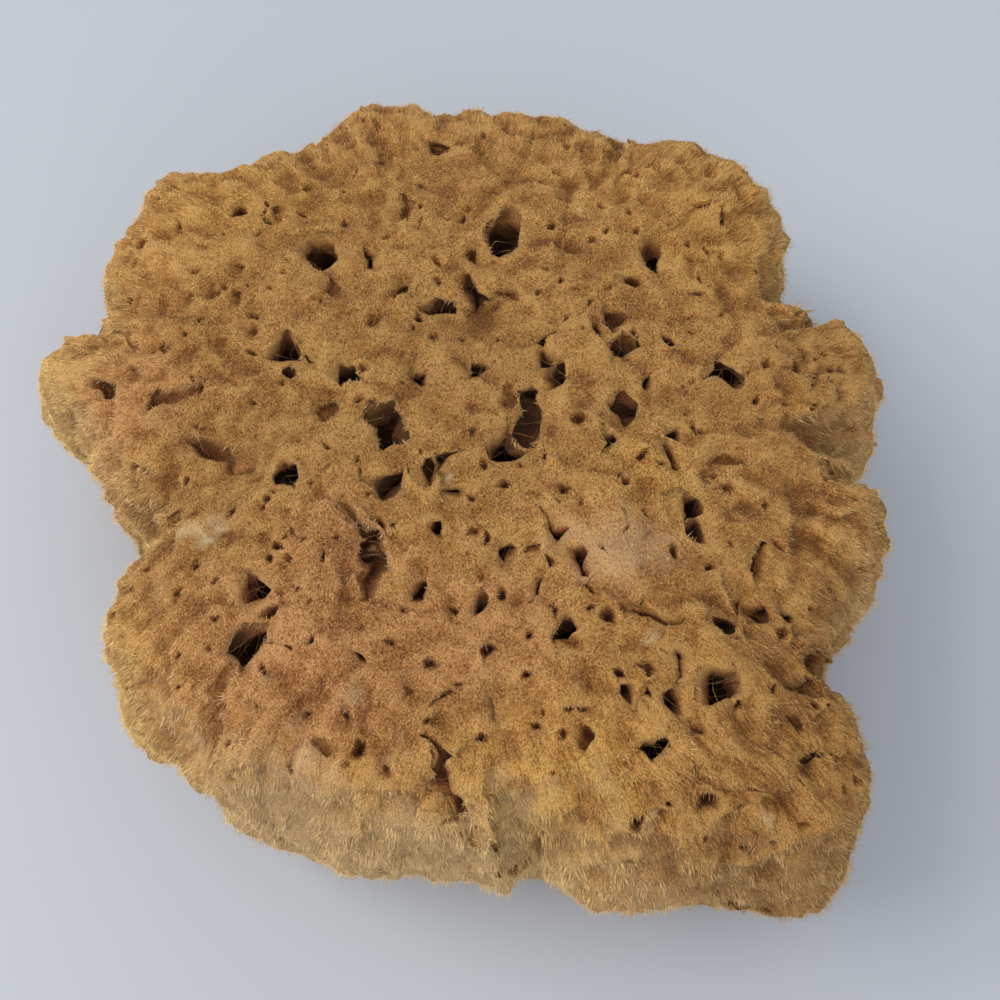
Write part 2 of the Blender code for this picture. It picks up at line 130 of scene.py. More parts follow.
# Pinholes in the top that are too small for the solid: x, y, height and width; then how deep and soft they
# are, and how many more are spread by chance over the top and the sides, with their widths
PINHOLES = [
    (-4.9, 14.3, 56.9, 1.5), (-14.2, 5.4, 56.7, 1.5), (-3.0, 10.2, 56.6, 1.0), (8.9, -16.7, 58.0, 1.2),
    (5.7, -12.8, 57.8, 0.9), (11.6, -40.6, 56.2, 1.0), (1.2, -35.3, 56.2, 1.2),
    (32.2, -36.8, 54.7, 1.2), (48.7, -38.8, 54.8, 1.2), (24.4, -46.4, 56.2, 1.4),
    (-1.9, -43.9, 55.1, 1.2), (35.8, 10.8, 56.4, 1.2), (24.2, -37.1, 57.1, 1.7),
    (6.2, -42.9, 55.2, 1.7), (5.0, -54.6, 52.8, 1.1), (28.5, -46.1, 56.5, 1.1),
    (-33.4, 35.6, 56.1, 1.4), (-48.4, 10.2, 54.8, 1.2), (-41.0, -51.5, 46.5, 1.3),
    (-26.4, -45.1, 55.7, 1.2), (-20.4, -10.3, 58.4, 1.1), (57.2, 6.8, 53.8, 1.3),
    (64.3, 7.9, 51.7, 1.3), (60.0, -0.3, 51.9, 1.3), (39.1, -5.6, 55.8, 1.4), (46.8, 36.6, 54.7, 1.9),
    (40.4, 30.2, 55.4, 0.9), (44.5, 29.3, 54.8, 1.0), (44.9, 17.4, 54.4, 0.8), (52.5, 11.9, 54.0, 1.5),
    (52.0, 26.5, 51.3, 1.0), (49.1, -0.1, 54.6, 1.0), (15.3, -29.2, 57.4, 1.9), (26.3, 32.8, 56.4, 1.0),
    (-55.3, 34.2, 53.3, 1.9), (-49.5, 31.4, 55.2, 1.2), (-57.7, 23.3, 50.2, 1.2),
    (44.2, -17.0, 55.4, 0.9), (14.3, -11.5, 58.0, 1.2), (20.3, -4.6, 58.0, 1.4),
    (7.4, -33.7, 56.1, 1.2), (53.6, -57.4, 54.3, 1.1), (55.6, -57.6, 53.6, 1.1),
    (57.1, -62.0, 52.6, 1.1), (26.7, -66.2, 52.7, 1.7), (36.1, -65.3, 53.9, 1.7),
    (39.8, -66.9, 52.9, 1.1), (31.5, -64.6, 54.3, 1.1), (-12.9, -56.1, 53.3, 1.3),
    (-26.0, -26.0, 56.6, 1.4), (-27.0, -36.5, 55.8, 1.6), (-22.8, -33.2, 56.1, 0.8),
    (-34.6, -37.5, 55.2, 0.8), (-38.6, -28.4, 54.4, 0.9), (66.6, -26.8, 46.5, 1.0),
    (17.9, -51.3, 54.8, 1.1), (40.0, -29.8, 55.6, 1.2), (16.7, 34.6, 55.5, 1.2),
    (-34.6, 32.2, 56.6, 1.0), (5.3, -25.6, 57.2, 1.2), (-34.6, -54.4, 52.1, 1.0),
    (47.7, -25.6, 53.6, 0.9), (21.8, -37.0, 57.1, 0.9), (50.6, -53.6, 55.5, 0.8),
    (-1.2, -58.6, 53.2, 1.7), (-1.9, -56.6, 53.6, 1.1), (-41.4, -31.7, 53.8, 1.1),
    (-33.6, -20.1, 55.8, 0.9)]
PINHOLE_DEPTH = 2.2
PINHOLE_SOFTNESS = 0.3
STRAY_PINHOLES = 340
STRAY_WIDTHS = (0.45, 1.1)
SIDE_PINHOLES = 200
SIDE_WIDTHS = (0.8, 2.4)

# Areas where the felt is bleached, pinkish, yellower or browner, and where light and shade are painted: x,
# y, half width, half depth and strength
BLEACHED_AND_LIT = [
    (-39.8, -22.6, 1.7, 1.0, 0.7), (-37.6, -23.6, 1.5, 0.9, 0.8), (-35.4, -22.4, 1.4, 1.0, 0.7),
    (-38.2, -24.8, 1.3, 0.8, 0.6), (-36.4, -20.8, 1.1, 0.7, 0.6), (-41.4, -24.2, 1.0, 0.6, 0.5),
    # The broad areas on the front and on the left are partly painted light where the light falls; the small
    # ones are pale flecks
    (25.3, -27.0, 8.0, 5.0, 0.3), (-30.6, -69.0, 32.0, 14.0, 0.42), (-6.6, -75.0, 36.0, 12.0, 0.46),
    (16.0, -82.0, 26.0, 12.0, 0.3), (-74.0, 6.0, 16.0, 18.0, 0.18), (-62.0, -44.0, 16.0, 20.0, 0.16),
    (21.4, 38.0, 0.7, 0.5, 0.8), (1.4, -15.0, 0.6, 0.5, 0.8), (29.4, -41.0, 1.0, 0.6, 0.7),
    (44.4, -66.0, 1.2, 0.7, 0.5)]
PINKISH = [
    (-20.6, -44.0, 26.0, 18.0, 0.8), (-14.6, -27.0, 12.0, 9.0, 0.8), (1.4, -40.0, 16.0, 13.0, 0.7),
    (25.4, -27.0, 11.0, 8.0, 0.8), (-56.6, 2.0, 16.0, 12.0, 0.6)]
YELLOWISH = [
    (30.8, -16.2, 10.0, 8.0, 0.9), (16.4, -62.0, 16.0, 12.0, 0.7), (-56.6, -45.0, 14.0, 16.0, 0.8),
    (47.4, 35.0, 24.0, 18.0, 0.6), (-40.6, 42.0, 28.0, 12.0, 0.6), (-72.6, 8.0, 14.0, 12.0, 0.9)]
BROWNER_AND_SHADED = [
    # The two strongest areas, at the front right, are painted shade on the side away from the light
    (54.0, -48.0, 26.0, 24.0, 1.0), (1.4, 12.0, 20.0, 12.0, 0.5), (59.4, 8.0, 14.0, 12.0, 0.6),
    (52.0, -68.0, 28.0, 18.0, 1.0), (-30.6, -8.0, 14.0, 10.0, 0.5), (7.4, -8.0, 8.0, 12.0, 0.5)]

# The uneven edges of those areas: share, size and shift of each noise, and where an area ends
PATCH_EDGES = ((0.4, 6.0, 3.3), (0.35, 2.2, 1.1), (0.3, 1.0, 2.1))
PATCH_END = (0.2, 1.3)

# The fibres: how many each piece has, how wide they are at the root, how long on the top and on the sides,
# how deep their roots lie, how much they stray, and how far they lean to their tufts on the top and on the
# sides; then the longer wisps, and the strands across the pores
FIBRES_A_PIECE = 49000
FIBRE_WIDTH = (0.08, 0.15)
CROWN_LENGTH = (0.45, 0.95)
FRINGE_LENGTH = (0.9, 1.9)
FIBRE_SUNK = 0.15
FELT_STRAY = 0.9
FELT_PULL = (0.12, 0.62)
WISPS = 12000
WISP_WIDTH = (0.07, 0.13)
WISP_LENGTH = (1.0, 2.1)
WISP_STRAY = 0.8
WISP_PULL = (0.2, 0.6)
THREADS = 2800
THREAD_WIDTH = (0.03, 0.05)
THREAD_SPAN = (0.9, 5.5)

# The tufts that the fibres gather in: how many, how far one reaches to the side, how high its point is and
# how much it strays; then how much the lengths on the sides differ from tuft to tuft, and how much longer
# they are in the middle of one and shorter away from it
TUFTS = 9500
TUFT_REACH = 1.5
TUFT_HEIGHT = (1.3, 3.4)
TUFT_STRAY = 0.6
TUFT_DIFFERENCE = 0.9
TUFT_MIDDLE = 0.35
TUFT_EDGE = 0.65

# How the fibres lie: the size and turns of the swirls and the lean along them, how far they stand up on the
# top, at the fringe and by chance, how far they lean outwards inside and at the rim, and down at the fringe,
# where the rim is and how much less they stray there, and where and how far the coat gets shaggy on the top
SWIRL_SIZE = 4.5
SWIRL_TURNS = 1.3
SWIRL_LEAN = 0.3
STAND_TOP, STAND_FRINGE, STAND_CHANCE = 0.2, 0.75, 0.3
LEAN_INSIDE, LEAN_RIM, LEAN_DOWN = 0.08, 0.8, 0.9
COMBED_RANGE = (40.0, 68.0)
CALM_AT_RIM = 0.45
SHAGGY_RANGE = (45.0, 70.0)
SHAGGY_RIM = 0.6

# How light the fibres are: the middle, and the shares of tuft, chance, cloud, ridge, streak, fringe and the
# way to the tuft; ridge is painted light on bumps and painted shade in hollows, fringe is partly a painted
# glow on the sides, and the way to the tuft is painted shade in the gaps between tufts
SHADE_MIDDLE = 0.61
SHADE_TUFT = 0.25
SHADE_CHANCE = 0.75
SHADE_CLOUD = 0.12
SHADE_RIDGE = 0.6
SHADE_STREAK = 0.5
SHADE_FRINGE = 0.1
SHADE_IN_GAPS = 0.28

# The floor and the lights: place, size, power and colour
FLOOR_SIZE = 6.0
FLOOR_COLOUR = (0.42, 0.43, 0.443)
WINDOW = ((-2.0, 0.25, 1.8), 2.0, 57.0, (1.0, 0.98, 0.95))
FILL_LIGHT = ((0.3, -2.1, 1.4), 2.4, 26.0, (0.98, 0.98, 1.0))
SKY_COLOUR = (0.82, 0.88, 1.0)
SKY_STRENGTH = 0.81

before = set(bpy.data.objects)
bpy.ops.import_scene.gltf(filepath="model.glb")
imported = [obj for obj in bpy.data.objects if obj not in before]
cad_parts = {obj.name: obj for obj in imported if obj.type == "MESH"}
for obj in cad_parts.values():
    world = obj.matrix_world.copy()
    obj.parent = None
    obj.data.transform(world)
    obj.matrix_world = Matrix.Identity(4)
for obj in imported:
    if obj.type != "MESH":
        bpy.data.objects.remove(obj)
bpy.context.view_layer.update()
rng = np.random.default_rng(SEED)
LATTICE = np.random.default_rng(SEED + 1).random((32, 32, 32)) * 2 - 1


def ripple(points, size, shift=0.0):
    """Smooth noise from -1 to 1 with lumps of about that size."""
    place = points / size + shift
    cell = np.floor(place).astype(int)
    part = place - cell
    part = part * part * (3 - 2 * part)
    total = np.zeros(len(points))
    for corner in itertools.product((0, 1), repeat=3):
        weight = np.prod(np.where(corner, part, 1 - part), axis=1)
        i, j, k = ((cell + corner) % len(LATTICE)).T
        total += weight * LATTICE[i, j, k]
    return total


def ramp(values, low, high):
    """0 at low, 1 at high and smooth between them."""
    share = np.clip((values - low) / (high - low), 0, 1)
    return share * share * (3 - 2 * share)


def unit(vectors):
    """The same directions with a length of 1."""
    return vectors / np.maximum(np.linalg.norm(vectors, axis=1, keepdims=True), 1e-9)


def patch(points, areas):
    """1 in the middle of the named areas and 0 away from them, with uneven edges."""
    found = np.zeros(len(points))
    wobble = 1 + sum(share * ripple(points, size, shift) for share, size, shift in PATCH_EDGES)
    for x, y, across, along, strength in areas:
        away = np.hypot((points[:, 0] - x) / across, (points[:, 1] - y) / along)
        found = np.maximum(found, strength * (1 - ramp(away * wobble, *PATCH_END)))
    return found


def mesh_points(mesh):
    """A mesh's vertices in millimetres."""
    flat = np.zeros(len(mesh.vertices) * 3)
    mesh.vertices.foreach_get("co", flat)
    return flat.reshape(-1, 3) / MM


def mesh_edges(mesh):
    """A mesh's edges as pairs of vertex numbers."""
    flat = np.zeros(len(mesh.edges) * 2, int)
    mesh.edges.foreach_get("vertices", flat)
    return flat.reshape(-1, 2)


def mesh_triangles(mesh):
    """A mesh's triangles as vertex numbers."""
    mesh.calc_loop_triangles()
    flat = np.zeros(len(mesh.loop_triangles) * 3, int)
    mesh.loop_triangles.foreach_get("vertices", flat)
    return flat.reshape(-1, 3)


def blur(values, edges, rounds):
    """Each value moves half way to the mean of its neighbours, that many times."""
    count = np.bincount(edges.ravel(), minlength=len(values))
    values = values.reshape(len(values), -1).astype(float)
    for _ in range(rounds):
        mean = np.empty_like(values)
        for column in range(values.shape[1]):
            line = values[:, column]
            total = np.bincount(edges[:, 0], line[edges[:, 1]], len(line))
            total += np.bincount(edges[:, 1], line[edges[:, 0]], len(line))
            mean[:, column] = total / np.maximum(count, 1)
        values = 0.5 * values + 0.5 * mean
    return values


def normals_of(points, triangles):
    """Outward directions at the vertices."""
    a, b, c = (points[triangles[:, i]] for i in range(3))
    face = np.cross(b - a, c - a)
    total = np.zeros_like(points)
    for corner in range(3):
        for axis in range(3):
            total[:, axis] += np.bincount(triangles[:, corner], face[:, axis], len(points))
    return unit(total)


def side_directions(normals):
    """Two directions at right angles to each normal and to each other."""
    helper = np.where(np.abs(normals[:, 2:]) < 0.9, (0.0, 0.0, 1.0), (1.0, 0.0, 0.0))
    first = unit(np.cross(helper, normals))
    return first, np.cross(normals, first)


def spatial_rank(points):
    """The rank of each point in an order that keeps near points together."""
    cell = np.clip((points + 128.0) / 256.0 * 512, 0, 511).astype(np.int64)
    key = np.zeros(len(points), np.int64)
    for bit in range(9):
        for axis in range(3):
            key |= ((cell[:, axis] >> bit) & 1) << (3 * bit + axis)
    rank = np.empty(len(points), np.int64)
    rank[np.argsort(key, kind="stable")] = np.arange(len(points))
    return rank


def cell_corners(rank, count):
    """The lower left corner of each cell of a square grid, and the width of a cell."""
    rows = math.ceil(math.sqrt(count))
    return np.stack([rank % rows, rank // rows], axis=1) / rows, 1 / rows


def lay_out(mesh, flat):
    """The flat layout of a mesh's corners, for baking its colours."""
    mesh.uv_layers.new(name="OFBake").data.foreach_set("uv", np.asarray(flat, np.float32).ravel())


def lay_out_body(mesh, points, triangles):
    """Two triangles to each cell of a grid, near ones together."""
    rank = spatial_rank(points[triangles].mean(axis=1))
    corner, width = cell_corners(rank // 2, math.ceil(len(triangles) / 2))
    first = np.array([(0.04, 0.04), (0.84, 0.04), (0.04, 0.84)])
    shape = np.where((rank % 2)[:, None, None] == 0, first, 1 - first)
    lay_out(mesh, corner[:, None] + shape * width)


def openness(points, normals, triangles):
    """How much of the sky above each point isn't blocked nearby: 1 on a bump and near 0 deep in a pore."""
    tree = BVHTree.FromPolygons(points.tolist(), triangles.tolist())
    first, second = side_directions(normals)
    starts = (points + normals * SIGHT_START).tolist()
    free = np.zeros(len(points))
    for ray in range(SIGHT_RAYS):
        lean = math.sqrt((ray + 0.5) / SIGHT_RAYS)
        turn = ray * math.pi * (3 - math.sqrt(5))
        rise = math.sqrt(1 - lean * lean)
        along = normals * rise + (first * math.cos(turn) + second * math.sin(turn)) * lean
        hits = [tree.ray_cast(start, way, SIGHT_REACH)[3] for start, way in zip(starts, along.tolist())]
        free += [1 if far is None else far / SIGHT_REACH for far in hits]
    return free / SIGHT_RAYS


def stray_pinholes(points, triangles, count, widths, least_up, most_up):
    """Small pores spread over the faces that point up by no less and no more than that."""
    a, b, c = (points[triangles[:, i]] for i in range(3))
    face = np.cross(b - a, c - a)
    area = np.linalg.norm(face, axis=1)
    up = face[:, 2] / np.maximum(area, 1e-9)
    middle = (a + b + c) / 3
    chance = area * (up >= least_up) * (up <= most_up) * (middle[:, 2] > 5.0)
    chosen = rng.choice(len(triangles), count, p=chance / chance.sum())
    first = np.sqrt(rng.random(count))
    second = rng.random(count)
    shares = np.stack([1 - first, first * (1 - second), first * second], axis=1)
    places = np.einsum("ij,ijk->ik", shares, points[triangles[chosen]])
    return np.column_stack([places, widths[0] + (widths[1] - widths[0]) * rng.random(count) ** 2])


def hole_cells(holes):
    """Cells of 1 mm that are close to a pinhole, with the corner that they are counted from."""
    corner = np.floor(holes[:, :3].min(axis=0)) - 3
    size = np.ceil(holes[:, :3].max(axis=0) - corner).astype(int) + 4
    near = np.zeros(size, bool)
    for *place, width in holes:
        low = np.floor(place - corner - width / 2 - PINHOLE_MARGIN + 0.5).astype(int)
        high = np.floor(place - corner + width / 2 + PINHOLE_MARGIN + 0.5).astype(int)
        near[low[0]:high[0] + 1, low[1]:high[1] + 1, low[2]:high[2] + 1] = True
    return near, corner


def divided(node):
    """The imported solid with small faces, finest at the pinholes and coarsest on the underside."""
    sheet = bmesh.new()
    sheet.from_mesh(node.data)
    bmesh.ops.remove_doubles(sheet, verts=sheet.verts, dist=0.001 * MM)
    bmesh.ops.triangulate(sheet, faces=sheet.faces)
    sheet.verts.index_update()
    points = np.array([vertex.co for vertex in sheet.verts]) / MM
    triangles = np.array([[vertex.index for vertex in face.verts] for face in sheet.faces])
    holes = np.vstack([
        np.array(PINHOLES), stray_pinholes(points, triangles, STRAY_PINHOLES, STRAY_WIDTHS, 0.5, 1.0),
        stray_pinholes(points, triangles, SIDE_PINHOLES, SIDE_WIDTHS, -0.5, 0.5)])
    near, corner = hole_cells(holes)
    for _ in range(DIVISIONS):
        sheet.normal_update()
        edges = list(sheet.edges)
        ends = np.array([(*edge.verts[0].co, *edge.verts[1].co) for edge in edges]) / MM
        up = np.array([edge.verts[0].normal.z for edge in edges])
        middle = (ends[:, :3] + ends[:, 3:]) / 2
        length = np.linalg.norm(ends[:, :3] - ends[:, 3:], axis=1)
        limit = np.where((up > 0.25) | (middle[:, 2] > 40.0), TOP_FACE, SIDE_FACE)
        limit[(middle[:, 2] < 1.0) | (up < -0.6)] = UNDER_FACE
        cell = np.clip(np.floor(middle - corner + 0.5).astype(int), 0, np.array(near.shape) - 1)
        limit[near[tuple(cell.T)]] = PINHOLE_FACE
        long = [edges[i] for i in np.flatnonzero(length > limit)]
        if not long:
            break
        bmesh.ops.subdivide_edges(sheet, edges=long, cuts=1, use_grid_fill=True, use_single_edge=True)
        bmesh.ops.triangulate(sheet, faces=[face for face in sheet.faces if len(face.verts) > 3])
    piece = bpy.data.objects.new("sponge_body", bpy.data.meshes.new("sponge_body"))
    bpy.context.collection.objects.link(piece)
    sheet.to_mesh(piece.data)
    sheet.free()
    return piece, holes


def hole_share(points, holes):
    """1 in the middle of a pinhole and 0 outside all of them, with the depth that its width gives it."""
    tree = KDTree(len(holes))
    for i, hole in enumerate(holes):
        tree.insert(hole[:3], i)
    tree.balance()
    share = np.zeros(len(points))
    depth = np.zeros(len(points))
    for i, place in enumerate(points.tolist()):
        for _, j, far in tree.find_n(place, 2):
            radius = holes[j][3] / 2
            inside = 1 - min(max((far - radius + PINHOLE_SOFTNESS) / (2 * PINHOLE_SOFTNESS), 0), 1)
            if inside > share[i]:
                share[i] = inside
                depth[i] = inside * min(1.0, 0.3 + radius) * PINHOLE_DEPTH
    return share, depth


def combed(points, stretch):
    """Places in a space where things that run out over the rim and down the sides are that much shorter."""
    bearing = np.arctan2(points[:, 1], points[:, 0])
    far = np.hypot(points[:, 0], points[:, 1])
    bearing = bearing + 2.0 * ripple(points, 9.0, 4.0) / STRAND_CIRCLE
    return np.stack([STRAND_CIRCLE * np.cos(bearing), STRAND_CIRCLE * np.sin(bearing),
                     (far - points[:, 2]) / stretch], axis=1)


def strands(points):
    """Ridges that run outwards near the rim and on down the sides."""
    far = np.hypot(points[:, 0], points[:, 1])
    total = sum(height * ripple(combed(points, along / across), across, 2.0)
                for across, along, height in STRAND_SIZES)
    return total * (STRAND_SHARE_INSIDE + (1 - STRAND_SHARE_INSIDE) * ramp(far, STRAND_START, STRAND_FULL))


def dents(points):
    """Shallow hollows with uneven edges."""
    large, small = DENT_SIZES
    found = ripple(points, large, 2.9) + 0.6 * ripple(points, small, 7.7)
    return -DENT_DEPTH * ramp(found, *DENT_EDGE)


def filled(points, exposed):
    """The points with the floors of the filled pores raised."""
    height = points[:, 2].copy()
    for x, y, width, length, turn in FILLED:
        angle = math.radians(turn)
        across, along = points[:, 0] - x, points[:, 1] - y
        first = across * math.cos(angle) + along * math.sin(angle)
        second = along * math.cos(angle) - across * math.sin(angle)
        away = np.hypot(first / (length / 2 + FILL_MARGIN), second / (width / 2 + FILL_MARGIN))
        mouth = np.median(height[(away < FILL_ROUND) & (exposed > 0.9) & (height > TOP_ZONE)])
        depth = mouth - height
        low = (away < FILL_EDGE[1]) & (depth > FILL_START) & (height > TOP_ZONE)
        raised = (1 - FILL_SHARE) * (depth[low] - FILL_START) * (1 - ramp(away[low], *FILL_EDGE))
        height[low] += raised * (1 + FILL_UNEVENNESS * ripple(points[low], FILL_LUMPS, 4.1))
    return np.column_stack([points[:, :2], height])


def creases(points):
    """Winding furrows between low swells, on the top."""
    bend = CREASE_BEND * np.stack([ripple(points, 8.0, shift) for shift in (0.3, 5.1, 9.7)], axis=1)
    line = 1 - np.abs(ripple(points + bend, CREASE_SIZE, 6.0))
    return -CREASE_DEPTH * ramp(line, *CREASE_EDGE)


def add_attribute(mesh, name, values):
    """A number at each vertex for the materials to read."""
    mesh.attributes.new(name, "FLOAT", "POINT").data.foreach_set("value", np.asarray(values, np.float32))


def add_areas(mesh, points, repeat=1):
    """The coloured areas, as numbers at the vertices."""
    for name, areas in (("bleached_and_lit", BLEACHED_AND_LIT), ("pinkish", PINKISH), ("yellowish", YELLOWISH),
                        ("browner_and_shaded", BROWNER_AND_SHADED)):
        add_attribute(mesh, name, np.repeat(patch(points, areas), repeat))


def make_body(node):
    """The felted body with its attributes, and what the fibres need to know about its surface."""
    piece, holes = divided(node)
    mesh = piece.data
    points = mesh_points(mesh)
    edges = mesh_edges(mesh)
    triangles = mesh_triangles(mesh)
    free = openness(points, normals_of(points, triangles), triangles)
    open_ground = ramp(blur(free, edges, 3)[:, 0], *OPEN_RANGE)[:, None]
    points = blur(points, edges, PORE_SMOOTHING)
    upper = ramp(points[:, 2], SIDE_LOW, SIDE_HIGH)[:, None]
    points = blur(points, edges, SIDE_SMOOTHING) * (1 - upper) + points * upper
    smooth = blur(points, edges, OPEN_SMOOTHING)
    points = points + (smooth - points) * open_ground
    normals = normals_of(points, triangles)
    free = blur(openness(points, normals, triangles), edges, 1)[:, 0]
    pinhole, dip = hole_share(points, holes)
    exposed = ramp(free, *EXPOSED_RANGE)
    outwards = unit(blur(normals * (exposed[:, None] + 0.01), edges, DIRECTION_SMOOTHING))
    up = ramp(outwards[:, 2], *UP_RANGE)
    hollow = 1 - ramp(free, *HOLLOW_RANGE)
    mouth = blur(hollow, edges, MOUTH_SPREAD)[:, 0]
    lift = sum(height * ripple(points, size, size) for size, height in SWELLS)
    lift += (strands(points) + creases(points) * (CREASE_ON_SIDES + (1 - CREASE_ON_SIDES) * up)
             + dents(points) * (DENT_ON_SIDES + (1 - DENT_ON_SIDES) * up))
    flat_cut = ramp(points[:, 2], *CUT_RANGE)
    move = (lift - FELT_INSET - MOUTH_DIP * mouth - dip) * (CUT_RELIEF + (1 - CUT_RELIEF) * flat_cut)
    place = filled(points, exposed) + outwards * move[:, None]
    wall = PORE_NARROWING + sum(height * ripple(points, size, 5.5) for size, height in WALL_LUMPS)
    place += normals * (wall * ramp(hollow, 0.1, 0.5) * flat_cut)[:, None]
    at_mouth = flat_cut * (1 + MOUTH_WARP * ramp(mouth, 0.03, 0.2))
    for size, swing in WARPS:
        place += at_mouth[:, None] * np.stack(
            [ripple(points, size, shift) * part
             for shift, part in ((1.7, swing), (4.4, swing), (8.9, WARP_UPWARDS * swing))], axis=1)
    place[:, 2] = np.maximum(place[:, 2], 0.05)
    mesh.vertices.foreach_set("co", (place * MM).ravel())
    normals = normals_of(place, triangles)
    soft = unit(blur(normals, edges, 6))
    rise = place - blur(place, edges, 14)
    rise = (rise * outwards).sum(axis=1)
    ridge = np.clip(0.5 + rise / RIDGE_RISE, 0, 1)
    crown = ramp(soft[:, 2], *CROWN_RANGE)
    lay_out_body(mesh, place, triangles)
    # The materials read the hollow for the painted shade in the pores and pinholes
    add_attribute(mesh, "hollow", np.maximum(hollow, 0.8 * pinhole))
    near_rim = ramp(np.hypot(*place.T[:2]), STRAND_START, STRAND_FULL)
    add_attribute(mesh, "rim", np.maximum(1 - crown, near_rim))
    mesh.attributes.new("comb", "FLOAT_VECTOR", "POINT").data.foreach_set(
        "vector", (combed(place, 6.0) * MM).astype(np.float32).ravel())
    add_attribute(mesh, "fringe", 1 - crown)
    # The materials read the ridge for painted light on bumps and painted shade in hollows
    add_attribute(mesh, "ridge", ridge)
    add_areas(mesh, points)
    mesh.shade_smooth()
    surface = {"points": place, "triangles": triangles, "normals": soft, "hollow": hollow,
               "mouth": mouth, "pinhole": pinhole, "crown": crown, "ridge": ridge}
    return piece, surface


def sample(surface, count, weight):
    """Places spread over the surface, with what is known of the surface there."""
    points = surface["points"]
    triangles = surface["triangles"]
    a, b, c = (points[triangles[:, i]] for i in range(3))
    area = np.linalg.norm(np.cross(b - a, c - a), axis=1) / 2
    chance = np.cumsum(area * weight[triangles].mean(axis=1))
    at = (np.arange(count) + rng.random(count)) / count * chance[-1]
    found = triangles[np.searchsorted(chance, at)]
    first = np.sqrt(rng.random(count))
    second = rng.random(count)
    shares = np.stack([1 - first, first * (1 - second), first * second], axis=1)
    places = {"points": np.einsum("ij,ijk->ik", shares, points[found])}
    places["normals"] = unit(np.einsum("ij,ijk->ik", shares, surface["normals"][found]))
    for name in ("hollow", "mouth", "pinhole", "crown", "ridge"):
        places[name] = (shares * surface[name][found]).sum(axis=1)
    return places


def groom(places, spread):
    """The way that each fibre points: nearly flat on the top, and combed outwards and down near the rim."""
    points, normals = places["points"], places["normals"]
    fringe = 1 - places["crown"]
    first, second = side_directions(normals)
    swirl = ripple(points, SWIRL_SIZE, 0.7) * SWIRL_TURNS * 2 * math.pi
    comb = first * np.cos(swirl)[:, None] + second * np.sin(swirl)[:, None]
    turn = rng.random(len(points)) * 2 * math.pi
    stray = first * np.cos(turn)[:, None] + second * np.sin(turn)[:, None]
    outwards = unit(points * (1.0, 1.0, 0.0)) - fringe[:, None] * (0.0, 0.0, LEAN_DOWN)
    outwards -= normals * (outwards * normals).sum(axis=1, keepdims=True)
    rim = ramp(np.hypot(points[:, 0], points[:, 1]), *COMBED_RANGE)
    stand = STAND_TOP + STAND_FRINGE * fringe + STAND_CHANCE * rng.random(len(points))
    lean = LEAN_INSIDE + LEAN_RIM * rim
    way = normals * stand[:, None] + comb * SWIRL_LEAN + outwards * lean[:, None]
    return unit(way + stray * (spread * (1 - CALM_AT_RIM * rim))[:, None])


def fringe_of(places):
    """How shaggy the coat is at each place: 0 on the top, more at the rim and 1 on the sides."""
    far = np.hypot(*places["points"].T[:2])
    return np.maximum(1 - places["crown"], SHAGGY_RIM * ramp(far, *SHAGGY_RANGE))


def make_tufts(surface):
    """The middles of the tufts, the point that each comes to, and a number by chance for each."""
    places = sample(surface, TUFTS, fibre_weight(surface, 1.0, 1.0, 0.3))
    chance = rng.random(TUFTS)
    height = TUFT_HEIGHT[0] + (TUFT_HEIGHT[1] - TUFT_HEIGHT[0]) * chance
    tree = KDTree(TUFTS)
    for i, place in enumerate(places["points"].tolist()):
        tree.insert(place, i)
    tree.balance()
    return {"tree": tree, "tips": places["points"] + groom(places, TUFT_STRAY) * height[:, None],
            "chance": chance}


def gathered(places, roots, lengths, groups, spread, pull):
    """The fibres' tips, leaning to their tufts' points, and each tuft's chance and how far off it is."""
    found = [groups["tree"].find(place) for place in roots.tolist()]
    owner = np.array([index for _, index, _ in found])
    away = np.clip(np.array([far for _, _, far in found]) / TUFT_REACH, 0, 1)
    chance = groups["chance"][owner]
    fringe = fringe_of(places)
    strength = (pull[0] + (pull[1] - pull[0]) * fringe)[:, None]
    way = groom(places, spread) * (1 - strength) + unit(groups["tips"][owner] - roots) * strength
    lengths = lengths * (1 + fringe * (TUFT_DIFFERENCE * (chance - 0.5) + TUFT_MIDDLE - TUFT_EDGE * away))
    return roots + unit(way) * lengths[:, None], chance, away


def spikes(name, roots, tips, widths, places, shade):
    """Straight three-sided fibres that end in a point, as one mesh."""
    count = len(roots)
    first, second = side_directions(unit(tips - roots))
    turn = rng.random(count) * 2 * math.pi
    corners = []
    for third in range(3):
        angle = turn + third * 2 * math.pi / 3
        ring = first * np.cos(angle)[:, None] + second * np.sin(angle)[:, None]
        corners.append(roots + ring * (widths / math.sqrt(3))[:, None])
    points = np.stack([*corners, tips], axis=1).reshape(-1, 3)
    start = (np.arange(count) * 4)[:, None, None]
    faces = (start + np.array([(0, 1, 3), (1, 2, 3), (2, 0, 3), (0, 2, 1)])).reshape(-1, 3)
    along = np.tile((0.0, 0.0, 0.0, 1.0), count)
    return fibre_mesh(name, points, faces, along, places, shade, 4)


def wisps(name, roots, bends, tips, widths, places, shade):
    """Three-sided fibres with a bend, as one mesh."""
    count = len(roots)
    first, second = side_directions(unit(tips - roots))
    turn = rng.random(count) * 2 * math.pi
    rings = []
    for centre, share in ((roots, 1.0), (bends, 0.7)):
        for third in range(3):
            angle = turn + third * 2 * math.pi / 3
            ring = first * np.cos(angle)[:, None] + second * np.sin(angle)[:, None]
            rings.append(centre + ring * (widths * share / math.sqrt(3))[:, None])
    points = np.stack([*rings, tips], axis=1).reshape(-1, 3)
    shape = [(0, 2, 1)]
    for i in range(3):
        j = (i + 1) % 3
        shape += [(i, j, j + 3), (i, j + 3, i + 3), (i + 3, j + 3, 6)]
    start = (np.arange(count) * 7)[:, None, None]
    faces = (start + np.array(shape)).reshape(-1, 3)
    along = np.tile((0.0, 0.0, 0.0, 0.5, 0.5, 0.5, 1.0), count)
    return fibre_mesh(name, points, faces, along, places, shade, 7)


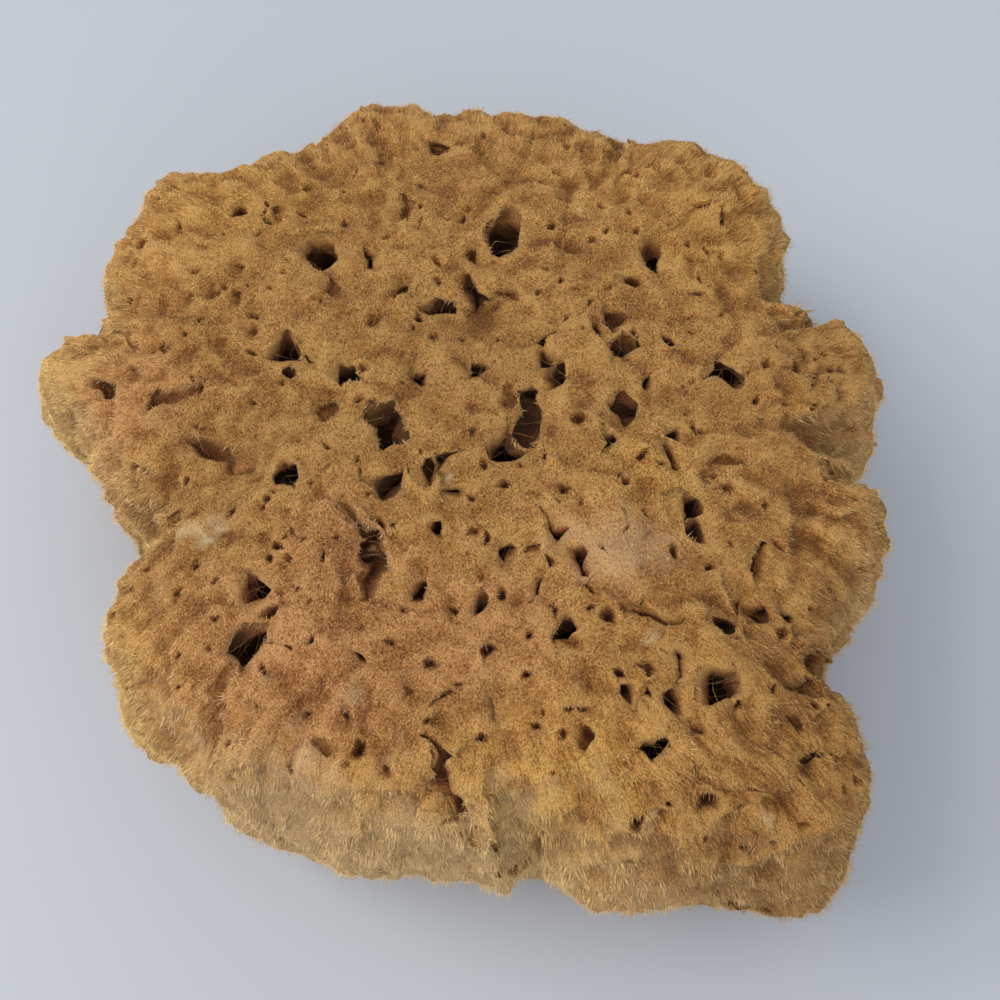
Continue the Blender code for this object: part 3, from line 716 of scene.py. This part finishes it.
def fibre_mesh(name, points, faces, along, places, shade, corners):
    """A mesh object from points in millimetres and triangles, with what the fibre material reads."""
    mesh = bpy.data.meshes.new(name)
    mesh.vertices.add(len(points))
    mesh.vertices.foreach_set("co", (points * MM).ravel())
    mesh.loops.add(len(faces) * 3)
    mesh.loops.foreach_set("vertex_index", faces.ravel())
    mesh.polygons.add(len(faces))
    mesh.polygons.foreach_set("loop_start", np.arange(len(faces)) * 3)
    mesh.update(calc_edges=True)
    mesh.shade_smooth()
    corner, width = cell_corners(spatial_rank(places["points"]), len(shade))
    across = np.arange(len(along)) % corners % 3 * 0.5
    across[along == 1.0] = 0.5
    flat = np.repeat(corner, corners, axis=0) + width * (0.1 + 0.8 * np.stack([across, along], axis=1))
    flat = flat[faces]
    cap = (along[faces] == 0.0).all(axis=1)
    flat[cap, 2, 1] += 0.4 * width
    lay_out(mesh, flat)
    add_attribute(mesh, "along", along)
    add_attribute(mesh, "shade", np.repeat(shade, corners))
    add_attribute(mesh, "hollow", np.repeat(places["hollow"], corners))
    add_attribute(mesh, "fringe", np.repeat(1 - places["crown"], corners))
    add_areas(mesh, places["points"], corners)
    piece = bpy.data.objects.new(name, mesh)
    bpy.context.collection.objects.link(piece)
    return piece


def shades(places, chance, away):
    """How light each fibre is, by its tuft, by chance, in clouds and streaks, with painted light and shade
    by the ridge it is on, a partly painted glow on the sides and painted shade away from its tuft.
    """
    points = places["points"]
    fringe = fringe_of(places)
    streak = ripple(combed(points, 6.0), 1.8, 3.1)
    shade = SHADE_MIDDLE + SHADE_TUFT * (chance - 0.5) + SHADE_CHANCE * (rng.random(len(points)) - 0.5)
    # Painted light on bumps and shade in hollows by the ridge; on the sides a partly painted glow and
    # painted shade in the gaps between tufts
    shade += SHADE_CLOUD * ripple(points, 7.0, 9.0) + SHADE_RIDGE * (places["ridge"] - 0.5)
    shade += fringe * (SHADE_STREAK * streak + SHADE_FRINGE - SHADE_IN_GAPS * away)
    return np.clip(shade, 0, 1)


def fibre_weight(surface, crown_share, side_share, under_share):
    """How thickly the fibres stand on each part of the surface."""
    up = surface["normals"][:, 2]
    height = surface["points"][:, 2]
    weight = np.where(up > 0.3, crown_share, side_share)
    weight = np.where((up < -0.7) | (height < 0.6), under_share, weight)
    return weight * (1 - 0.85 * surface["hollow"]) * (1 - 0.97 * surface["pinhole"])


def shortening(places):
    """Fibres get shorter towards the mouths of the pores."""
    return (1 - 0.7 * ramp(places["mouth"], 0.04, 0.3)) * (1 - 0.4 * ramp(places["hollow"], 0.0, 0.2))


def make_felt(surface, groups):
    """The short fibres, in pieces by where they stand."""
    pieces = []
    for name, crown_share, side_share, under_share in (
            ("felt_crown_fine", 1.0, 0.3, 0.0), ("felt_crown_top", 0.9, 0.5, 0.0),
            ("felt_flank", 0.15, 1.0, 0.4)):
        weight = fibre_weight(surface, crown_share, side_share, under_share)
        places = sample(surface, FIBRES_A_PIECE, weight)
        fringe = fringe_of(places)
        draw = rng.random(FIBRES_A_PIECE)
        low = CROWN_LENGTH[0] + (FRINGE_LENGTH[0] - CROWN_LENGTH[0]) * fringe
        high = CROWN_LENGTH[1] + (FRINGE_LENGTH[1] - CROWN_LENGTH[1]) * fringe
        roots = places["points"] - places["normals"] * FIBRE_SUNK
        lengths = (low + (high - low) * draw) * shortening(places)
        tips, chance, away = gathered(places, roots, lengths, groups, FELT_STRAY, FELT_PULL)
        tips[:, 2] = np.maximum(tips[:, 2], 0.0)
        widths = rng.uniform(*FIBRE_WIDTH, FIBRES_A_PIECE)
        pieces.append(spikes(name, roots, tips, widths, places, shades(places, chance, away)))
    return pieces


def make_wisps(surface, groups):
    """Longer bent fibres, most of them on the sides and the rim."""
    weight = fibre_weight(surface, 0.3, 1.0, 0.1)
    places = sample(surface, WISPS, weight)
    fringe = 1 - places["crown"]
    roots = places["points"] - places["normals"] * FIBRE_SUNK
    lengths = rng.uniform(*WISP_LENGTH, WISPS) * (0.45 + 0.55 * fringe) * shortening(places)
    tips, chance, away = gathered(places, roots, lengths, groups, WISP_STRAY, WISP_PULL)
    lengths = np.linalg.norm(tips - roots, axis=1)
    bow = unit(rng.normal(size=(WISPS, 3))) * (lengths * 0.18)[:, None]
    bends = (roots + tips) / 2 + bow + places["normals"] * (lengths * 0.06)[:, None]
    tips[:, 2] = np.maximum(tips[:, 2], 0.0)
    bends[:, 2] = np.maximum(bends[:, 2], 0.2)
    widths = rng.uniform(*WISP_WIDTH, WISPS)
    return wisps("felt_wisps", roots, bends, tips, widths, places, shades(places, chance, away))


def make_threads(surface):
    """Fine strands across the mouths of the pores, from wall to wall."""
    hollow = surface["hollow"]
    weight = ramp(hollow, 0.15, 0.35) * (1 - ramp(hollow, 0.55, 0.8)) * (surface["points"][:, 2] > 5.0)
    places = sample(surface, THREADS, weight)
    way = unit(places["normals"] * (1.0, 1.0, 0.3) + 0.45 * rng.normal(size=(THREADS, 3)))
    tree = BVHTree.FromPolygons(surface["points"].tolist(), surface["triangles"].tolist())
    starts = (places["points"] + way * 0.1).tolist()
    spans = [tree.ray_cast(start, line, THREAD_SPAN[1])[3] for start, line in zip(starts, way.tolist())]
    spans = np.array([0.0 if span is None else span for span in spans])
    kept = spans > THREAD_SPAN[0]
    places = {name: values[kept] for name, values in places.items()}
    way, spans = way[kept], spans[kept]
    count = len(spans)
    roots = places["points"] - way * 0.2
    tips = places["points"] + way * (spans + 0.3)[:, None]
    bends = (roots + tips) / 2 + rng.normal(size=(count, 3)) * (spans * 0.22)[:, None]
    widths = rng.uniform(*THREAD_WIDTH, count)
    shade = np.clip(0.55 + 0.5 * (rng.random(count) - 0.5), 0, 1)
    return wisps("felt_threads", roots, bends, tips, widths, places, shade)


def node(tree, kind, place, **values):
    """A shader node with its settings; a name that starts with a capital is one of its inputs."""
    made = tree.nodes.new(kind)
    made.location = place
    for key, value in values.items():
        if key[0].isupper():
            made.inputs[key.replace("_", " ")].default_value = value
        else:
            setattr(made, key, value)
    return made


def colour_ramp(tree, place, source, stops):
    """The colours that a number picks from a ramp with the given stops of position and colour."""
    made = tree.nodes.new("ShaderNodeValToRGB")
    made.location = place
    band = made.color_ramp
    while len(band.elements) < len(stops):
        band.elements.new(0.5)
    for element, (position, colour) in zip(band.elements, stops):
        element.position = position
        element.color = (*colour, 1)
    tree.links.new(source, made.inputs[0])
    return made.outputs[0]


def attribute(tree, name, place):
    """The number that the mesh holds under that name."""
    made = tree.nodes.new("ShaderNodeAttribute")
    made.attribute_name = name
    made.location = place
    return made.outputs["Fac"]


def times_plus(tree, place, first, factor, added):
    """One number times a factor, plus another number."""
    made = node(tree, "ShaderNodeMath", place, operation="MULTIPLY_ADD")
    tree.links.new(first, made.inputs[0])
    made.inputs[1].default_value = factor
    if isinstance(added, float):
        made.inputs[2].default_value = added
    else:
        tree.links.new(added, made.inputs[2])
    return made.outputs[0]


def mixed(tree, place, share, first, second, blend="MIX"):
    """Two colours mixed; the share and the second may be a plain value or come from a node."""
    mix = node(tree, "ShaderNodeMix", place, data_type="RGBA", blend_type=blend)
    for value, socket in ((share, mix.inputs["Factor"]), (first, mix.inputs[6]), (second, mix.inputs[7])):
        if isinstance(value, bpy.types.NodeSocket):
            tree.links.new(value, socket)
        elif isinstance(value, tuple):
            socket.default_value = (*value, 1)
        else:
            socket.default_value = value
    return mix.outputs[2]


def tinted(tree, colour, place, side_share, side_colour):
    """The sides in another colour, painted shade on the body and partly a painted glow on the fibres, and
    pinkish, yellowish, browner and bleached areas, some of them painted light and shade, over a colour.
    """
    share = times_plus(tree, (place[0] - 200, place[1] + 200), attribute(
        tree, "fringe", (place[0] - 400, place[1] + 200)), side_share, 0.0)
    colour = mixed(tree, (place[0], place[1] + 200), share, colour, side_colour)
    # The browner factor is also painted shade where its areas are broad at the front right
    for step, (name, factor) in enumerate((
            ("pinkish", (1.08, 1.0, 1.32)), ("yellowish", (1.10, 1.14, 0.95)),
            ("browner_and_shaded", (0.77, 0.74, 0.70)))):
        share = attribute(tree, name, (place[0] - 200, place[1] - 200 - 150 * step))
        changed = mixed(tree, (place[0], place[1] - 200 * step), 1.0, colour, factor, "MULTIPLY")
        colour = mixed(tree, (place[0] + 200, place[1] - 200 * step), share, colour, changed)
    # The bleached colour is also painted light where its areas are broad on the front and the left
    share = attribute(tree, "bleached_and_lit", (place[0] - 200, place[1] - 650))
    return mixed(tree, (place[0] + 400, place[1]), share, colour, (0.84, 0.62, 0.32))


def new_material(name, roughness):
    """A material with its shader, and the shader's sheen for soft fibre."""
    material = bpy.data.materials.new(name)
    material.use_nodes = True
    shader = material.node_tree.nodes["Principled BSDF"]
    shader.location = (1200, 0)
    material.node_tree.nodes["Material Output"].location = (1500, 0)
    shader.inputs["Roughness"].default_value = roughness
    shader.inputs["Specular IOR Level"].default_value = 0.08
    shader.inputs["Sheen Weight"].default_value = 0.12
    shader.inputs["Sheen Roughness"].default_value = 0.5
    shader.inputs["Sheen Tint"].default_value = (1.0, 0.80, 0.50, 1)
    return material, material.node_tree, shader


def body_material():
    """Matted felt: mottled golden brown outside, with painted light on bumps and painted shade in hollows, a
    dull side colour that is painted shade, and painted shade that turns the pores red-brown to black.
    """
    material, tree, shader = new_material("sponge_felt", 0.95)
    space = node(tree, "ShaderNodeTexCoord", (-1800, 0)).outputs["Object"]
    combing = node(tree, "ShaderNodeAttribute", (-1800, 500), attribute_name="comb").outputs["Vector"]
    ridged = {"noise_type": "RIDGED_MULTIFRACTAL", "Detail": 3.0, "Roughness": 0.6, "Lacunarity": 2.1,
              "Offset": 1.0, "Gain": 2.0}
    tangle = node(tree, "ShaderNodeTexNoise", (-1600, 700), Scale=1500.0, Distortion=0.6, **ridged)
    strand = node(tree, "ShaderNodeTexNoise", (-1600, 450), Scale=1300.0, Distortion=0.3, **ridged)
    grain = node(tree, "ShaderNodeTexNoise", (-1600, 200), Scale=3200.0, Detail=2.0, Roughness=0.6)
    mottle = node(tree, "ShaderNodeTexNoise", (-1600, -50), Scale=330.0, Detail=3.0, Roughness=0.6)
    cloud = node(tree, "ShaderNodeTexNoise", (-1600, -300), Scale=55.0, Detail=2.0, Roughness=0.5)
    for texture in (tangle, grain, mottle, cloud):
        tree.links.new(space, texture.inputs["Vector"])
    tree.links.new(combing, strand.inputs["Vector"])
    blend = node(tree, "ShaderNodeMix", (-1400, 550))
    tree.links.new(attribute(tree, "rim", (-1600, 950)), blend.inputs["Factor"])
    tree.links.new(tangle.outputs[0], blend.inputs["A"])
    tree.links.new(strand.outputs[0], blend.inputs["B"])
    fine = times_plus(tree, (-1200, 350), blend.outputs[0], 0.36, times_plus(
        tree, (-1350, 200), grain.outputs[0], 1.8, -1.37))
    value = times_plus(tree, (-1150, 100), mottle.outputs[0], 0.9, fine)
    value = times_plus(tree, (-1000, 100), cloud.outputs[0], 0.6, value)
    # Painted light on the bumps and painted shade in the hollows between them
    value = times_plus(tree, (-850, 100), attribute(tree, "ridge", (-1150, -150)), 0.7, value)
    spread = node(tree, "ShaderNodeMapRange", (-700, 100), From_Min=0.6, From_Max=1.6)
    tree.links.new(value, spread.inputs["Value"])
    felt = colour_ramp(tree, (-550, 150), spread.outputs[0], [
        (0.0, (0.20, 0.063, 0.010)), (0.5, (0.45, 0.195, 0.044)), (1.0, (0.74, 0.39, 0.112))])
    # The body on the sides takes a dull side colour, darker than the fibres there: painted shade in the gaps
    # between the tufts
    colour = tinted(tree, felt, (-200, 150), 0.5, (0.42, 0.24, 0.085))
    # Painted shade: the pores and pinholes turn red-brown to near black by how hollow they are
    depth = colour_ramp(tree, (400, -300), attribute(tree, "hollow", (200, -300)), [
        (0.0, (1, 1, 1)), (0.25, (0.90, 0.80, 0.70)), (0.5, (0.66, 0.47, 0.37)),
        (0.75, (0.45, 0.26, 0.19)), (1.0, (0.20, 0.10, 0.07))])
    deep = mixed(tree, (900, 100), 1.0, colour, depth, "MULTIPLY")
    tree.links.new(deep, shader.inputs["Base Color"])
    bump = node(tree, "ShaderNodeBump", (900, -300), Strength=1.0, Distance=0.0007)
    tree.links.new(fine, bump.inputs["Height"])
    tree.links.new(bump.outputs[0], shader.inputs["Normal"])
    return material


def fibre_material():
    """Single fibres: golden brown at the root and paler at the tip, paler on the sides partly as a painted
    glow, and darkened by painted shade in the pores.
    """
    material, tree, shader = new_material("sponge_fibres", 0.85)
    value = times_plus(tree, (-950, 100), attribute(tree, "along", (-1200, 0)), 0.26,
                       attribute(tree, "shade", (-1200, 200)))
    # Lighter on the sides: partly a painted glow of light through the thin fuzz
    value = times_plus(tree, (-750, 100), attribute(tree, "fringe", (-950, -100)), 0.12, value)
    felt = colour_ramp(tree, (-550, 150), value, [
        (0.0, (0.21, 0.072, 0.012)), (0.45, (0.44, 0.188, 0.040)), (0.8, (0.70, 0.365, 0.100)),
        (1.0, (0.84, 0.55, 0.21))])
    # The paler, yellower side colour of the fibres is partly a painted glow of light through the thin fuzz
    colour = tinted(tree, felt, (-200, 150), 0.42, (0.74, 0.50, 0.22))
    # Painted shade: fibres in the pores turn red-brown to near black by how hollow they are
    depth = colour_ramp(tree, (400, -300), attribute(tree, "hollow", (200, -300)), [
        (0.0, (1, 1, 1)), (0.25, (0.86, 0.72, 0.58)), (0.6, (0.40, 0.24, 0.17)), (1.0, (0.07, 0.04, 0.03))])
    deep = mixed(tree, (900, 100), 1.0, colour, depth, "MULTIPLY")
    tree.links.new(deep, shader.inputs["Base Color"])
    return material


def make_floor():
    """A plain pale floor."""
    half = FLOOR_SIZE / 2
    mesh = bpy.data.meshes.new("floor")
    corners = [(-half, -half, 0), (half, -half, 0), (half, half, 0), (-half, half, 0)]
    mesh.from_pydata(corners, [], [(0, 1, 2, 3)])
    floor = bpy.data.objects.new("floor", mesh)
    bpy.context.collection.objects.link(floor)
    material = bpy.data.materials.new("pale_floor")
    material.use_nodes = True
    shader = material.node_tree.nodes["Principled BSDF"]
    shader.inputs["Base Color"].default_value = (*FLOOR_COLOUR, 1)
    shader.inputs["Roughness"].default_value = 0.55
    mesh.materials.append(material)


def area_light(name, place, size, power, colour):
    """A square light that faces the sponge."""
    data = bpy.data.lights.new(name, "AREA")
    data.size = size
    data.energy = power
    data.color = colour
    light = bpy.data.objects.new(name, data)
    light.location = place
    light.rotation_euler = (Vector((0, 0, 0.03)) - Vector(place)).to_track_quat("-Z", "Y").to_euler()
    bpy.context.collection.objects.link(light)


def make_light():
    """Soft light from the upper left, and a pale sky all round."""
    area_light("window", *WINDOW)
    area_light("fill", *FILL_LIGHT)
    world = bpy.data.worlds.new("sky")
    world.use_nodes = True
    sky = world.node_tree.nodes["Background"]
    sky.inputs["Color"].default_value = (*SKY_COLOUR, 1)
    sky.inputs["Strength"].default_value = SKY_STRENGTH
    bpy.context.scene.world = world


def make_camera():
    """The camera at the height and tilt that give the view from above the front."""
    data = bpy.data.cameras.new("camera")
    data.lens = LENS
    camera = bpy.data.objects.new("camera", data)
    camera.location = Vector(CAMERA_PLACE) * MM
    camera.rotation_euler = (math.radians(CAMERA_TILT), 0, 0)
    bpy.context.collection.objects.link(camera)
    bpy.context.scene.camera = camera


body, surface = make_body(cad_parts["sponge"])
body.data.materials.append(body_material())
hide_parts("sponge")
groups = make_tufts(surface)
fibres = [*make_felt(surface, groups), make_wisps(surface, groups), make_threads(surface)]
coat = fibre_material()
for piece in fibres:
    piece.data.materials.append(coat)
for piece in [body, *fibres]:
    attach(piece, "root")
make_floor()
make_light()
make_camera()
bpy.context.scene.view_settings.view_transform = "Standard"
